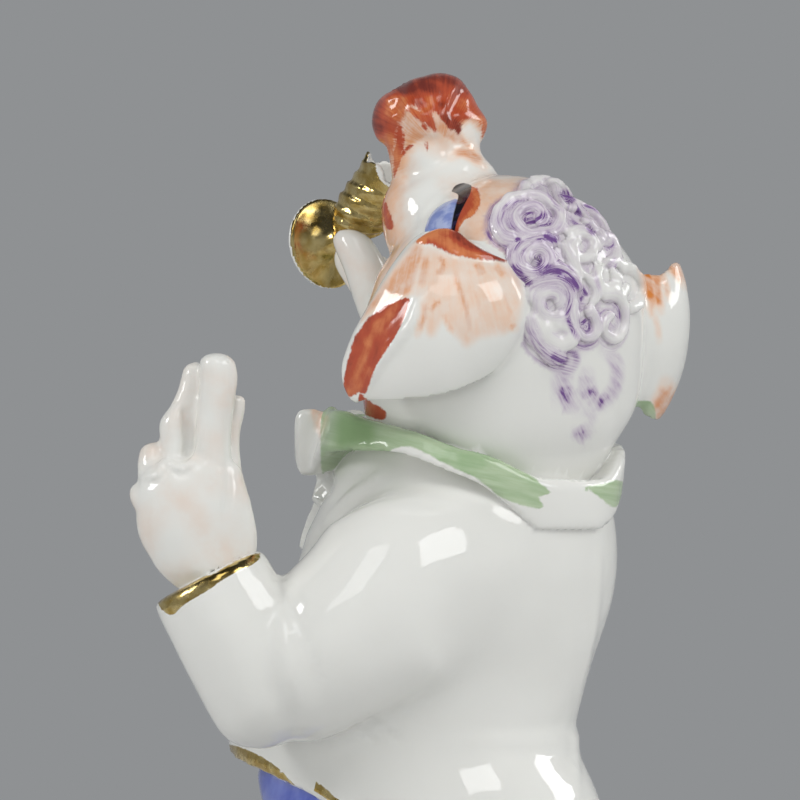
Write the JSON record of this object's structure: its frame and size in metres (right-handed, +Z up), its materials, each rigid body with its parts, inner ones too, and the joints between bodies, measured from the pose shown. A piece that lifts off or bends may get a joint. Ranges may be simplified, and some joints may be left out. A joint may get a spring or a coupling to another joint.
{
  "type": "porcelain pig figurine",
  "caption": "Glazed porcelain pig in court dress, head thrown back, left hand raised, a gilt goblet at its mouth, on a low round base.",
  "frame": {"origin": "centre of the base's flat underside, where the figurine stands", "axes": "+Z up; the body faces -Y, and the raised left hand is on the +X side"},
  "size_m": [0.1012, 0.0797, 0.2047],
  "materials": {
    "porcelain": "gloss"
  },
  "bodies": {
    "root": {"pig_figurine": "porcelain"}
  },
  "joints": []
}
